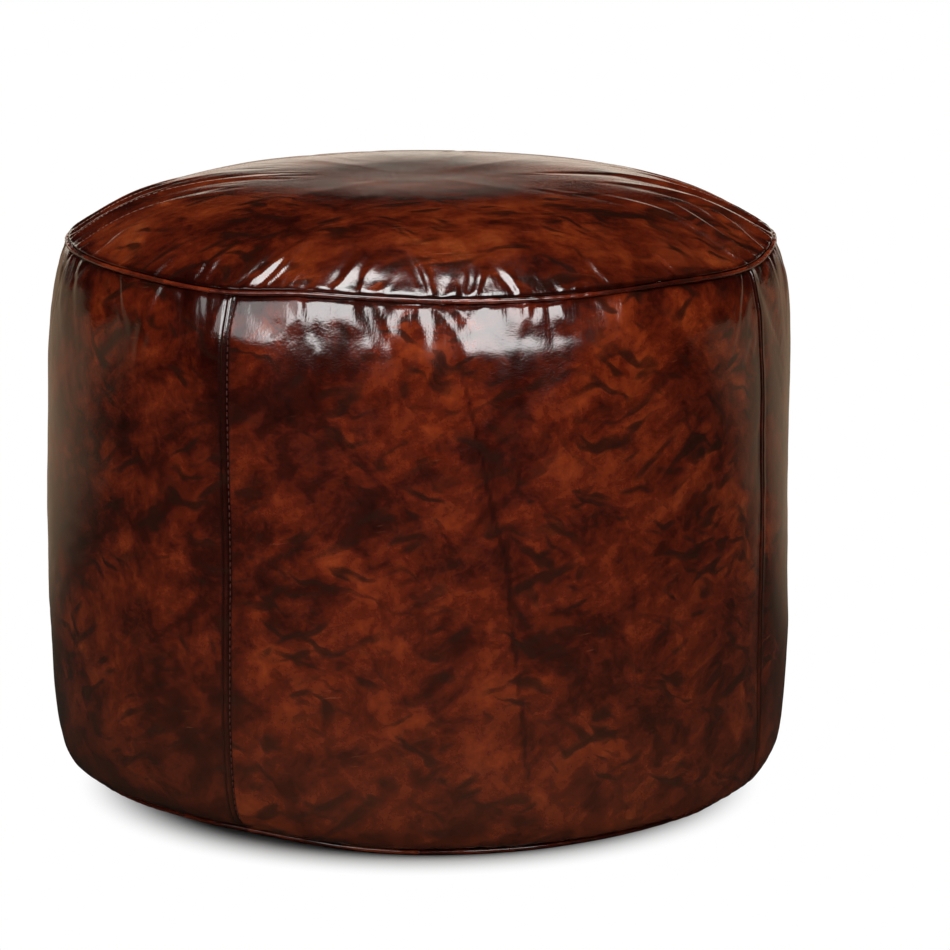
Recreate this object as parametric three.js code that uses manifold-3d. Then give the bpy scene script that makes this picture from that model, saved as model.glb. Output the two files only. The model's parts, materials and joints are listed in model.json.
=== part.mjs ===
// A round leather pouf in millimetres, +Z up: a stuffed drum of four sewn side panels, a crowned top
// and a two-piece base that opens with a zip. The origin is on the floor, under the middle of the base.
// Azimuths are in degrees from the front (-Y), growing towards the right (+X).
import * as THREE from "three";
import { mergeVertices } from "three/addons/utils/BufferGeometryUtils.js";
import Module from "manifold-3d";

const wasm = await Module();
wasm.setup();

// Driving dimensions.
const INCH = 25.4;
const DIAMETER = 22 * INCH;
const HEIGHT = 18 * INCH;
const RADIUS = DIAMETER / 2;
const RING_SEGMENTS = 32;

// Leather and sewing.
const LEATHER = 1.4;
const WELT_STRIP = 1.2;
const WELT_CORD = 3;
const CALICO = 0.8;
const THREAD = 0.8;
const GAP = 0.3;
const ALLOWANCE_END = 12;
// Of a vertical seam, in degrees: half its gap, how far its allowances reach, and its fold's thickness.
const SEAM_HALF_GAP = 0.15;
const ALLOWANCE_SWEEP = 1.7;
const SEAM_WALL = 0.32;

// Crown of the top panel: a full, fairly level dome with a round shoulder.
const CROWN_RISE = 45.5;
const CROWN_RADIUS = RADIUS - 17.4;
const CROWN_POWER = 4;

// Vertical side seams, by azimuth, as cut by hand and not quite even.
const SIDE_SEAMS = [-29, 65, 153, 242];
const PANEL_NAMES = ["front", "right", "back", "left"];
const SEAM_NAMES = ["front_left", "front_right", "back_right", "back_left"];

// Zip along X in the middle of the base. The base rises over it, so that it clears the floor.
const ZIP_LENGTH = 380;
const ZIP_SLOT = { x: 206, y: 6.5 };
const BASE_LIFT = 5.7;
const PANEL_JOINT = 0.4;
const RIM_START = 236;
const TAPE = { length: 410, inner: 3.9, width: 13, low: 7.4, thick: 0.8 };
const TAPE_STITCHING = { y: 9.5, end: ZIP_SLOT.x - 2 };
const TEETH = { inner: 1.1, outer: 3.6, low: 6.5, high: 9.1, shortBy: 2 };

// Where the base starts and stops falling from over the zip to the floor.
const LIFT_X = [ZIP_SLOT.x + 3, 233];
const LIFT_Y = [TAPE.inner + TAPE.width, 60];

// The stops, measured along X from the ends of the zip.
const TOP_STOP = { x: [-1.4, 1.6], y: [0.6, 3.6] };
const BOTTOM_STOP = { x: [-3.9, -0.4], y: [-3.6, 3.6] };
const STOP_Z = [6.3, 9.3];

// The slider and its pull, measured along X from the pull's hinge.
const SLIDER_X = 180;
const HINGE_Z = 3.2;
const PLATE = { length: 8, waist: 5, front: 6, lower: [4.5, 6.1], upper: [9.5, 10.9] };
const RAIL = { x: [-7.6, 3], y: [4.2, 4.95], lower: [6, 7.1], upper: [8.5, 9.6] };
const POST = { x: [2.5, 7], y: [-0.8, 0.8], z: [6, 9.6] };
const BRIDGE = {
  width: 3,
  outside: { half: 5, foot: 5, low: 1, lean: 0.4 },
  inside: { half: 3.4, foot: 4.5, low: 2, lean: 0.3 },
};
const PULL = {
  head: 1,
  tail: -27,
  roundFrom: -20,
  half: 3.6,
  thick: 1.3,
  eye: { x: [-7, -0.7], half: 2.1 },
  grip: { x: -21.5, radius: 1.6 },
};

// Liner bag: how high its bottom lies, how far it rises over the zip, and how deep its top lies.
const LINER_LOW = 2.4;
const LINER_LIFT = 11;
const LINER_DEPTH = LEATHER + GAP + CALICO / 2 + 0.2;

const point = (r, z) => new THREE.Vector2(r, z);
const radians = THREE.MathUtils.degToRad;

// ---------------------------------------------------------------- flat outlines

// The line moved to its left by distance. Points on the axis stay on it.
function offset(line, distance) {
  return line.map((p, i) => {
    const ahead = line[Math.min(i + 1, line.length - 1)];
    const behind = line[Math.max(i - 1, 0)];
    const along = ahead.clone().sub(behind).normalize();
    const r = p.x === 0 ? 0 : p.x - along.y * distance;
    return point(r, p.y + along.x * distance);
  });
}

// The closed outline of a sheet of even thickness that follows a line.
function ribbon(line, thickness) {
  return [...offset(line, thickness / 2), ...offset(line, -thickness / 2).reverse()];
}

function circle(centre, radius, steps) {
  return Array.from({ length: steps }, (_, i) => {
    const turn = (i / steps) * 2 * Math.PI;
    return point(centre.x + radius * Math.cos(turn), centre.y + radius * Math.sin(turn));
  });
}

// A sewn ring seam: place(inwards, aside) is a point of its section, measured from the middle of the
// welt cord along the seam allowances, and across them towards the top or base panel.
function ringSeam(cord, slope, side) {
  const inwards = point(-Math.cos(radians(slope)), Math.sin(radians(slope)));
  const across = point(-inwards.y * side, inwards.x * side);
  const place = (t, aside) =>
    point(
      cord.x + inwards.x * t + across.x * aside,
      cord.y + inwards.y * t + across.y * aside,
    );
  return { cord, place };
}

const topSeam = ringSeam(point(RADIUS - 12.4, HEIGHT - 47.2), -40, -1);
const baseSeam = ringSeam(point(RADIUS - 28.4, 4.6), 20, 1);

// How far the middle of each layer lies from the middle of a seam's sandwich.
const WELT_LEAF = WELT_STRIP / 2 + 0.2;
const PANEL_LEAF = WELT_LEAF + WELT_STRIP / 2 + GAP + LEATHER / 2;

const bend = (from, corner, to, steps = 3) =>
  new THREE.QuadraticBezierCurve(from, corner, to).getPoints(steps);

// ---------------------------------------------------------------- solids

function solid(geometry) {
  const bare = geometry.index ? geometry.toNonIndexed() : geometry.clone();
  const shape = new THREE.BufferGeometry();
  shape.setAttribute("position", bare.getAttribute("position"));
  const merged = mergeVertices(shape, 1e-3);
  return new wasm.Manifold(
    new wasm.Mesh({
      numProp: 3,
      vertProperties: merged.attributes.position.array,
      triVerts: new Uint32Array(merged.index.array),
    }),
  );
}

function geometryOf(manifold) {
  const made = manifold.getMesh();
  const geometry = new THREE.BufferGeometry();
  geometry.setAttribute("position", new THREE.BufferAttribute(made.vertProperties, 3));
  geometry.setIndex(new THREE.BufferAttribute(made.triVerts, 1));
  return geometry.toNonIndexed();
}

// A solid of revolution about Z. The outline closes on itself, or starts and ends on the axis.
function revolved(outline) {
  const onAxis = outline[0].x === 0;
  const area = THREE.ShapeUtils.area(outline);
  const line = area > 0 ? outline : [...outline].reverse();
  const closed = onAxis ? line : [...line, line[0]];
  return new THREE.LatheGeometry(closed, RING_SEGMENTS).rotateX(Math.PI / 2);
}

const ring = (outline) => solid(revolved(outline));

function box(x, y, z) {
  const [low, high] = [new THREE.Vector3(x[0], y[0], z[0]), new THREE.Vector3(x[1], y[1], z[1])];
  const size = high.clone().sub(low);
  const middle = low.clone().add(high).multiplyScalar(0.5);
  return solid(
    new THREE.BoxGeometry(size.x, size.y, size.z).translate(middle.x, middle.y, middle.z),
  );
}

const mirrored = ([from, to], side) => (side > 0 ? [from, to] : [-to, -from]);

// A prism over the wedge between two azimuths, taller and wider than the pouf.
function wedge(from, to) {
  const corner = (azimuth) =>
    point(2 * RADIUS * Math.sin(radians(azimuth)), -2 * RADIUS * Math.cos(radians(azimuth)));
  const sweep = [0, 1 / 3, 2 / 3, 1].map((share) => corner(from + share * (to - from)));
  const outline = new THREE.Shape([point(0, 0), ...sweep]);
  return solid(
    new THREE.ExtrudeGeometry(outline, { depth: 2 * HEIGHT, bevelEnabled: false }).translate(
      0,
      0,
      -HEIGHT / 2,
    ),
  );
}

// ---------------------------------------------------------------- leather cover

const MATERIALS = {
  leather: { color: 0x5a1f0e, roughness: 0.32, metalness: 0 },
  welt: { color: 0x4a1a0d, roughness: 0.36, metalness: 0 },
  thread: { color: 0x2a0f08, roughness: 0.7, metalness: 0 },
  cord: { color: 0xd8cbb0, roughness: 0.9, metalness: 0 },
  calico: { color: 0xe2d8c2, roughness: 0.95, metalness: 0 },
  stuffing: { color: 0xefebe2, roughness: 1, metalness: 0 },
  tape: { color: 0x2b1812, roughness: 0.85, metalness: 0 },
  brass: { color: 0x9c7a45, roughness: 0.4, metalness: 1 },
};

const pouf = new THREE.Group();

function add(name, made, finish) {
  const geometry = made.isBufferGeometry ? made : geometryOf(made);
  const mesh = new THREE.Mesh(geometry, new THREE.MeshStandardMaterial(MATERIALS[finish]));
  mesh.name = name;
  pouf.add(mesh);
  return mesh;
}

const crownHeight = (r) => HEIGHT - CROWN_RISE * (r / CROWN_RADIUS) ** CROWN_POWER;

const crownRadii = [0, 0.3, 0.5, 0.66, 0.78, 0.87, 0.93, 0.98].map((share) => share * CROWN_RADIUS);

// The crown's line at a depth under the top panel's outer face, from the axis outwards.
function crown(depth, count) {
  const face = crownRadii.slice(0, count).map((r) => point(r, crownHeight(r)));
  return offset(face, -depth);
}

function topPanel() {
  const line = [
    ...crown(LEATHER / 2, 8),
    ...bend(
      point(CROWN_RADIUS - 2.5, crownHeight(CROWN_RADIUS - 2.5) - LEATHER / 2),
      topSeam.place(2, PANEL_LEAF),
      topSeam.place(7, PANEL_LEAF),
    ),
    topSeam.place(ALLOWANCE_END, PANEL_LEAF),
  ];
  return revolved(ribbon(line, LEATHER));
}

// The outer face of the side, from just above the base seam to just under the top seam.
const sideFace = new THREE.SplineCurve([
  point(RADIUS - 22, 8.8),
  point(RADIUS - 11, 18),
  point(RADIUS - 2.6, 60),
  point(RADIUS, 130),
  point(RADIUS, 270),
  point(RADIUS - 2.2, 340),
  point(RADIUS - 7.4, 388),
  point(RADIUS - 8.6, 396),
]);

// A line up inside the side wall, at a depth under its outer face.
const sideLine = (depth) => offset(sideFace.getPoints(8), depth);

function sideBand() {
  const wall = sideLine(LEATHER / 2);
  const line = [
    baseSeam.place(ALLOWANCE_END, -PANEL_LEAF),
    ...bend(baseSeam.place(6, -PANEL_LEAF), baseSeam.place(1.5, -PANEL_LEAF - 0.6), wall[0]),
    ...wall.slice(1, -1),
    ...bend(wall.at(-1), topSeam.place(2, -PANEL_LEAF - 0.4), topSeam.place(7, -PANEL_LEAF)),
    topSeam.place(ALLOWANCE_END, -PANEL_LEAF),
  ];
  return ring(ribbon(line, LEATHER));
}

// A layer of the wall between two depths, without its ends, for the vertical seam allowances.
function innerBand(from, to) {
  const [outer, inner] = [from, to].map((depth) => sideLine(depth).slice(1, -1));
  return ring([...outer, ...inner.reverse()]);
}

// Both allowances of a vertical seam are pressed to its left: a panel's right edge is turned back behind
// the panel, and its left edge goes on behind the neighbour's.
function sidePanel(from, to, wall, turned, under) {
  const [left, right] = [from + SEAM_HALF_GAP, to - SEAM_HALF_GAP];
  const turnedBack = turned.leaf.intersect(wedge(right - ALLOWANCE_SWEEP, right));
  const turnedFold = turned.fold.intersect(wedge(right - SEAM_WALL, right));
  const passedUnder = under.leaf.intersect(wedge(left - ALLOWANCE_SWEEP, left + SEAM_WALL));
  const passedFold = under.fold.intersect(wedge(left, left + SEAM_WALL));
  return wall
    .intersect(wedge(left, right))
    .add(turnedBack)
    .add(turnedFold)
    .add(passedUnder)
    .add(passedFold);
}

function welt(seam) {
  const cordLoop = WELT_CORD / 2 + GAP + WELT_STRIP / 2;
  const mouth = Math.asin(WELT_LEAF / cordLoop);
  const neck = cordLoop * Math.cos(mouth);
  const steps = 5;
  const around = Array.from({ length: steps + 1 }, (_, i) => {
    const turn = mouth + (i / steps) * 2 * (Math.PI - mouth);
    return seam.place(cordLoop * Math.cos(turn), cordLoop * Math.sin(turn));
  });
  const line = [
    seam.place(ALLOWANCE_END, WELT_LEAF),
    seam.place(neck + 1.2, WELT_LEAF),
    ...around,
    seam.place(neck + 1.2, -WELT_LEAF),
    seam.place(ALLOWANCE_END, -WELT_LEAF),
  ];
  return revolved(ribbon(line, WELT_STRIP));
}

const weltCord = (seam) => revolved(circle(seam.cord, WELT_CORD / 2, 6));

// The line of stitches that holds a ring seam, behind the side panels' allowance.
const ringThread = (seam) =>
  revolved(
    circle(seam.place(8, -PANEL_LEAF - LEATHER / 2 - GAP - THREAD / 2), THREAD / 2, 4),
  );

// The stitches of a vertical seam, in the groove between the two panels.
function sideThread(azimuth) {
  const turn = radians(azimuth);
  const line = sideLine(LEATHER).slice(1, -1);
  const path = new THREE.CatmullRomCurve3(
    line.map((p) => new THREE.Vector3(p.x * Math.sin(turn), -p.x * Math.cos(turn), p.y)),
  );
  return tube(path, 12);
}

function tube(path, steps) {
  const section = new THREE.Shape(circle(point(0, 0), THREAD / 2, 6));
  return new THREE.ExtrudeGeometry(section, { steps, extrudePath: path });
}

add("top_panel", topPanel(), "leather");

const wall = sideBand();
const [firstLeaf, secondLeaf] = [1, 2].map((layer) => layer * (LEATHER + GAP));
const turned = {
  leaf: innerBand(firstLeaf, firstLeaf + LEATHER),
  fold: innerBand(LEATHER / 2, firstLeaf + LEATHER),
};
const under = {
  leaf: innerBand(secondLeaf, secondLeaf + LEATHER),
  fold: innerBand(LEATHER / 2, secondLeaf + LEATHER),
};
SIDE_SEAMS.forEach((from, i) => {
  const to = SIDE_SEAMS[(i + 1) % 4] + (i === 3 ? 360 : 0);
  add(`side_panel_${PANEL_NAMES[i]}`, sidePanel(from, to, wall, turned, under), "leather");
  add(`side_seam_thread_${SEAM_NAMES[i]}`, sideThread(from), "thread");
});

for (const [name, seam] of [["top", topSeam], ["bottom", baseSeam]]) {
  add(`${name}_welt`, welt(seam), "welt");
  add(`${name}_welt_cord`, weltCord(seam), "cord");
  add(`${name}_seam_thread`, ringThread(seam), "thread");
}

// ---------------------------------------------------------------- base and zip

// 1 over the zip, falling to 0 towards the rim of the base.
function overZip(x, y) {
  const fall = (distance, [from, to]) => 1 - THREE.MathUtils.smoothstep(Math.abs(distance), from, to);
  return fall(x, LIFT_X) * fall(y, LIFT_Y);
}

// A level sheet, wider than the base, that is raised over the zip.
function liftedSheet(low, high, lift) {
  const lines = ([from, to]) => {
    const outwards = [0, 1, 2, 3].map((i) => from + (i / 3) * (to - from)).concat(RADIUS);
    return [...outwards.map((distance) => -distance).reverse(), ...outwards];
  };
  const [columns, rows] = [lines(LIFT_X), lines(LIFT_Y)];
  const [across, along] = [columns.length - 1, rows.length - 1];
  const sheet = new THREE.BoxGeometry(across, along, 1, across, along, 1);
  const places = sheet.attributes.position;
  for (let i = 0; i < places.count; i++) {
    const x = columns[Math.round(places.getX(i) + across / 2)];
    const y = rows[Math.round(places.getY(i) + along / 2)];
    const level = places.getZ(i) > 0 ? high : low;
    places.setXYZ(i, x, y, level + lift * overZip(x, y));
  }
  return solid(sheet);
}

const disc = (radius) =>
  solid(new THREE.CylinderGeometry(radius, radius, HEIGHT, RING_SEGMENTS).rotateX(Math.PI / 2));

// The base panel's edge, which folds back over itself into the base seam.
function baseRim() {
  const middle = LEATHER / 2;
  const fold = new THREE.CubicBezierCurve(
    point(RIM_START + 7, middle),
    point(RIM_START + 12, middle),
    point(RIM_START + 12.8, 2.9),
    baseSeam.place(6, PANEL_LEAF),
  );
  const line = [
    point(RIM_START - 1, middle),
    ...fold.getPoints(5),
    baseSeam.place(ALLOWANCE_END, PANEL_LEAF),
  ];
  return ring(ribbon(line, LEATHER));
}

function basePanels() {
  const slot = box([-ZIP_SLOT.x, ZIP_SLOT.x], [-ZIP_SLOT.y, ZIP_SLOT.y], [-HEIGHT, HEIGHT]);
  const joint = box([-RADIUS, RADIUS], [-PANEL_JOINT, PANEL_JOINT], [-HEIGHT, HEIGHT]);
  const whole = liftedSheet(0, LEATHER, BASE_LIFT)
    .intersect(disc(RIM_START))
    .add(baseRim())
    .subtract(slot)
    .subtract(joint);
  return [-1, 1].map((side) =>
    whole.intersect(box([-RADIUS, RADIUS], mirrored([0, RADIUS], side), [-HEIGHT, HEIGHT])),
  );
}

const [baseFront, baseBack] = basePanels();
add("bottom_panel_front", baseFront, "leather");
add("bottom_panel_back", baseBack, "leather");

const zipEnd = ZIP_LENGTH / 2;
const along = (middle, range) => range.map((reach) => middle + reach);

for (const [name, side] of [["front", -1], ["back", 1]]) {
  const tapeY = mirrored([TAPE.inner, TAPE.inner + TAPE.width], side);
  const tape = box(
    [-TAPE.length / 2, TAPE.length / 2],
    tapeY,
    [TAPE.low, TAPE.low + TAPE.thick],
  );
  const teethY = mirrored([TEETH.inner, TEETH.outer], side);
  const teeth = box([-zipEnd, zipEnd - TEETH.shortBy], teethY, [TEETH.low, TEETH.high]);
  const stop = box(along(zipEnd, TOP_STOP.x), mirrored(TOP_STOP.y, side), STOP_Z);
  const [firstStitch, lastStitch] = [-1, 1].map((end) => {
    const z = BASE_LIFT - GAP - THREAD / 2;
    return new THREE.Vector3(end * TAPE_STITCHING.end, side * TAPE_STITCHING.y, z);
  });
  const stitching = tube(new THREE.LineCurve3(firstStitch, lastStitch), 1);
  add(`zipper_tape_${name}`, tape, "tape");
  add(`zipper_teeth_${name}`, teeth, "brass");
  add(`zipper_top_stop_${name}`, stop, "brass");
  add(`zipper_stitching_${name}`, stitching, "thread");
}
add("zipper_bottom_stop", box(along(-zipEnd, BOTTOM_STOP.x), BOTTOM_STOP.y, STOP_Z), "brass");

// The slider: two shield-shaped plates with guide rails, a wedge post between them and a bridge below.
function sliderPlate([low, high]) {
  const { length, waist, front } = PLATE;
  const shield = new THREE.Shape();
  shield.moveTo(-length, -waist);
  shield.quadraticCurveTo(length - 3, -waist, length - 1, -front);
  shield.quadraticCurveTo(length + 1.6, 0, length - 1, front);
  shield.quadraticCurveTo(length - 3, waist, -length, waist);
  shield.closePath();
  const flat = { depth: high - low, bevelEnabled: false, curveSegments: 4 };
  return solid(new THREE.ExtrudeGeometry(shield, flat).translate(0, 0, low));
}

function arch(path, { half, foot, low, lean }) {
  path.moveTo(-half, foot);
  path.quadraticCurveTo(lean - half, low, 0, low);
  path.quadraticCurveTo(half - lean, low, half, foot);
  path.closePath();
  return path;
}

function bridge() {
  const band = arch(new THREE.Shape(), BRIDGE.outside);
  band.holes.push(arch(new THREE.Path(), BRIDGE.inside));
  const wide = { depth: BRIDGE.width, bevelEnabled: false, curveSegments: 4 };
  const upright = new THREE.ExtrudeGeometry(band, wide).rotateX(Math.PI / 2);
  return solid(upright.translate(0, BRIDGE.width / 2, 0));
}

function slider() {
  const rails = [-1, 1].flatMap((side) =>
    [RAIL.lower, RAIL.upper].map((z) => box(RAIL.x, mirrored(RAIL.y, side), z)),
  );
  const parts = [sliderPlate(PLATE.upper), box(POST.x, POST.y, POST.z), ...rails, bridge()];
  return parts.reduce((whole, part) => whole.add(part), sliderPlate(PLATE.lower));
}

// The pull tab lies flat under the closed chain, with a window that hooks it to the bridge.
function pull() {
  const { head, tail, roundFrom, half, thick } = PULL;
  const tab = new THREE.Shape();
  tab.moveTo(head, half);
  tab.lineTo(roundFrom, half);
  tab.quadraticCurveTo(tail, half, tail, 0);
  tab.quadraticCurveTo(tail, -half, roundFrom, -half);
  tab.lineTo(head, -half);
  tab.closePath();
  const [eyeFrom, eyeTo] = PULL.eye.x;
  const [left, right] = [-PULL.eye.half, PULL.eye.half];
  const eye = [point(eyeTo, left), point(eyeFrom, left), point(eyeFrom, right), point(eyeTo, right)];
  const grip = circle(point(PULL.grip.x, 0), PULL.grip.radius, 10);
  tab.holes.push(new THREE.Path(eye), new THREE.Path(grip));
  const flat = { depth: thick, bevelEnabled: false, curveSegments: 5 };
  return new THREE.ExtrudeGeometry(tab, flat).translate(0, 0, HINGE_Z - thick / 2);
}

add("zipper_slider", slider(), "brass").position.x = SLIDER_X;
add("zipper_pull", pull(), "brass").position.x = SLIDER_X;

// ---------------------------------------------------------------- liner bag and stuffing

const linerSide = [
  point(RADIUS - 43, 13.6),
  point(RADIUS - 25.4, 14.8),
  point(RADIUS - 10.5, 60),
  point(RADIUS - 7.6, 130),
  point(RADIUS - 7.6, 270),
  point(RADIUS - 10.5, 340),
  point(RADIUS - 21, 391),
  point(RADIUS - 32, 411),
];

add("liner_top", revolved(ribbon(crown(LINER_DEPTH, 7), CALICO)), "calico");
add("liner_side", revolved(ribbon(linerSide, CALICO)), "calico");
add(
  "liner_bottom",
  liftedSheet(LINER_LOW, LINER_LOW + CALICO, LINER_LIFT).intersect(disc(RIM_START - 2)),
  "calico",
);

function stuffing() {
  const clear = CALICO / 2 + GAP;
  const bottom = LINER_LOW + CALICO + GAP;
  const side = offset(linerSide, clear).slice(0, -1);
  const top = crown(LINER_DEPTH + clear, 6).reverse();
  const outline = [point(0, bottom), point(RIM_START - 4, bottom), ...side, ...top];
  return ring(outline).subtract(liftedSheet(-HEIGHT, bottom, LINER_LIFT));
}

add("stuffing", stuffing(), "stuffing");

export default pouf;
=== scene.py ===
import json
import math

import bpy
import numpy as np
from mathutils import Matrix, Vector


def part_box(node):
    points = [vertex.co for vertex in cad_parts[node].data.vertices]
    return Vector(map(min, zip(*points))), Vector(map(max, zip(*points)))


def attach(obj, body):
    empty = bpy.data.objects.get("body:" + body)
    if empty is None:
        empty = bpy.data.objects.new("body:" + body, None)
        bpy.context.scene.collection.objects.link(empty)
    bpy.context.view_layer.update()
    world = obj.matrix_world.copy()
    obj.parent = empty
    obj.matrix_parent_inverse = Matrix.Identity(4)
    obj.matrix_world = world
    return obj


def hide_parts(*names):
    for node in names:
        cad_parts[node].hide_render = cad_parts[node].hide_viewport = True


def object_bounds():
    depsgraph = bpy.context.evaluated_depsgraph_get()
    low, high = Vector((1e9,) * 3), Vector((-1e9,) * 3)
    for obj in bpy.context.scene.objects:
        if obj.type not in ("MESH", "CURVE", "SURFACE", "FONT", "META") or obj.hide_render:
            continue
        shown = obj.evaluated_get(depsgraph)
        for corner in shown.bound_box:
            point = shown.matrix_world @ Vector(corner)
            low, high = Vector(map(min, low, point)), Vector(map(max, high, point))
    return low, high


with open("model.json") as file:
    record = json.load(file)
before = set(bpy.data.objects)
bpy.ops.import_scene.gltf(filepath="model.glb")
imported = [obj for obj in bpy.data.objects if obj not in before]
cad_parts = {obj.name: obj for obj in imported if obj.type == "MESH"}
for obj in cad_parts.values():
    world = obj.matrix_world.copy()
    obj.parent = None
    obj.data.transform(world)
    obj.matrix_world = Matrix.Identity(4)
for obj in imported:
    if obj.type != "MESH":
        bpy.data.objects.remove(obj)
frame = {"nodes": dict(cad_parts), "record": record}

# A round leather pouf: a stuffed cover of sewn panels, with a welt round its top and bottom edges.
# Lengths are in metres. Azimuths are in degrees from the front (-Y), growing towards the right (+X).

MM = 0.001
CAD_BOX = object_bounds()
HEIGHT = CAD_BOX[1].z

# The layers of the cover, and how deep under the leather's outer face the inner ones lie.
LEATHER = 1.4 * MM
BASE_LEATHER = 1.2 * MM
CALICO = 0.8 * MM
UNDER_LEATHER = 2.4 * MM
UNDER_LINER = 4 * MM
WELT_STRIP = 3.4 * MM
WELT_CORE = 1.9 * MM

# How much of the side's profile, at either end, and of the top's is tucked into the ring seams.
SIDE_TUCK = 9 * MM
TOP_TUCK = 8 * MM

# The zip's slot in the base, and how far the base panels and the liner rise over it.
SLOT = (206 * MM, 6.5 * MM)
BASE_RAISED = 5.7 * MM
LINER_RAISED = 11 * MM

# The azimuths of the four side seams. Each panel starts at the seam of its number.
SEAMS = [-29.2, 65, 153, 242]
PANELS = ["front", "right", "back", "left"]
SEAM_NAMES = ["front_left", "front_right", "back_right", "back_left"]


def ring_of(node):
    """The radius and height of the middle of a ring-shaped cord."""
    low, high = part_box(node)
    return (high.x - (high.z - low.z) / 2, (high.z + low.z) / 2)


TOP_SEAM = ring_of("top_welt_cord")
BASE_SEAM = ring_of("bottom_welt_cord")
BASE_RADIUS = BASE_SEAM[0] - 2.2 * MM
SIDE_RADIUS = 280 * MM


# ---------------------------------------------------------------- numbers over a surface

def smooth(x, start, end):
    """0 before start and 1 after end, with a soft rise between them."""
    share = np.clip((x - start) / (end - start), 0, 1)
    return share * share * (3 - 2 * share)


def hump(distance, width):
    """1 in the middle, falling to 0 at about two widths away."""
    return np.exp(-((distance / width) ** 2))


def curve_through(points, x, period=None):
    """A soft curve through (x, y) points in rising order of x. With a period it goes round."""
    knots = np.array(points, float)
    if period:
        x = (x - knots[0, 0]) % period + knots[0, 0]
        before = knots[-2:] - [period, 0]
        after = knots[:3] + [period, 0]
        knots = np.vstack([before, knots, after])
    kx, ky = knots.T
    slope = np.gradient(ky, kx)
    i = np.clip(np.searchsorted(kx, x) - 1, 0, len(kx) - 2)
    gap = kx[i + 1] - kx[i]
    t = np.clip((x - kx[i]) / gap, 0, 1)
    bend = t * t * (3 - 2 * t)
    return (
        ky[i] * (1 - bend)
        + ky[i + 1] * bend
        + slope[i] * gap * t * (1 - t) ** 2
        - slope[i + 1] * gap * t * t * (1 - t)
    )


def away(azimuth, other):
    """Degrees from one azimuth to another, by the shorter way round."""
    return (azimuth - other + 180) % 360 - 180


def ripples(places, length, seed):
    """Soft random hills about that long, with heights of about -1 to 1, at an (..., 3) array of places."""
    waves = 28
    chance = np.random.RandomState(seed)
    total = np.zeros(places.shape[:-1])
    for _ in range(waves):
        way = chance.normal(size=3)
        way *= 1 / np.linalg.norm(way)
        turns = 2 * math.pi / (length * chance.uniform(0.65, 1.35))
        total += np.sin(places @ way * turns + chance.uniform(0, 2 * math.pi))
    return total / math.sqrt(waves)


class Profile:
    """A smooth line through (radius, height) points, measured by its length from the start."""

    def __init__(self, points):
        self.points = np.array(points, float)
        steps = np.hypot(*np.diff(self.points, axis=0).T)
        self.marks = np.concatenate([[0], np.cumsum(steps)])
        self.length = self.marks[-1]

    def at(self, s):
        r = curve_through(np.stack([self.marks, self.points[:, 0]], 1), s)
        z = curve_through(np.stack([self.marks, self.points[:, 1]], 1), s)
        return r, z

    def facing(self, s):
        """The direction square to the line, to the right of its way."""
        step = 0.4 * MM
        (r0, z0), (r1, z1) = self.at(s - step), self.at(s + step)
        run = np.hypot(r1 - r0, z1 - z0)
        return (z1 - z0) / run, (r0 - r1) / run


def turned(azimuth, r, z):
    """Points at a radius and height, turned to an azimuth."""
    angle = np.radians(azimuth)
    return np.stack([r * np.sin(angle), -r * np.cos(angle), z + 0 * angle], -1)


# ---------------------------------------------------------------- the shape of the stuffed cover

# How far the top edge rises and falls on its way round, in mm: (azimuth, rise).
TOP_EDGE = [(-60, 2.7), (-47, 1.9), (-31, -0.5), (-17, 3.0), (-7, 1.4), (3, -0.4), (20, -1.3), (42, -0.2)]
TOP_EDGE += [(65, -3.4), (84, 1.2), (108, -0.8), (131, 1.6), (153, -1.8), (178, 1.4), (204, -1), (242, -2.2)]
TOP_EDGE += [(268, 1.5)]
# How far the top edge pulls in, in mm: (azimuth, pull).
TOP_PULL = [(-125, 2.4), (-90, 4.2), (-62, 2.6), (-32, 0.4), (10, 0), (70, 0.2), (100, 0.6), (170, 0.2)]
# How far the bottom edge hangs clear of the floor, in mm: (azimuth, rise).
BASE_RISE = [(-100, 0.6), (-78, 3), (-60, 6.6), (-44, 8), (-31, 7), (-20, 4.2), (-6, 1), (10, 0.2), (60, 0.8)]
BASE_RISE += [(84, 2), (120, 0.4), (150, 2), (190, 0.5), (232, 1.6)]
# How far the bottom edge pulls in, in mm: (azimuth, pull).
BASE_EDGE = [(-62, 0.5), (-38, 2.2), (-24, 4.2), (-8, 1), (14, -0.6), (36, 0.5), (58, -1), (80, 1.5)]
BASE_EDGE += [(112, -1), (141, 1.8), (166, -0.5), (196, 1.2), (226, -0.8), (255, 2)]


def top_edge_rise(azimuth):
    return curve_through(TOP_EDGE, azimuth, 360) * MM


def top_edge_pull(azimuth):
    return curve_through(TOP_PULL, azimuth, 360) * MM


def base_edge_rise(azimuth):
    return curve_through(BASE_RISE, azimuth, 360) * MM


def base_edge_pull(azimuth):
    return curve_through(BASE_EDGE, azimuth, 360) * MM


# The side's outer face from the base seam to the top seam: (radius, height).
SIDE = Profile(
    [(r * MM, z * MM) for r, z in [
        (244, 8.2), (249, 7.8), (253.8, 8.0), (260.5, 9.8), (267.6, 14.6), (272.8, 22.6), (276.4, 36),
        (278.6, 56), (279.8, 92), (280.4, 150), (280.2, 220), (279.8, 290), (279.4, 336), (278.2, 362),
        (276, 380), (273.2, 391.8), (270.2, 400.6), (267.6, 406.3), (264.8, 408.8), (257, 409.4),
    ]]
)

# The top's outer face from its middle to the top seam.
CROWN_RADIUS = TOP_SEAM[0]
CROWN_RISE = HEIGHT - TOP_SEAM[1] - 1.2 * MM


def crown_height(r):
    return HEIGHT - CROWN_RISE * (r / CROWN_RADIUS) ** 4.2


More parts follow.
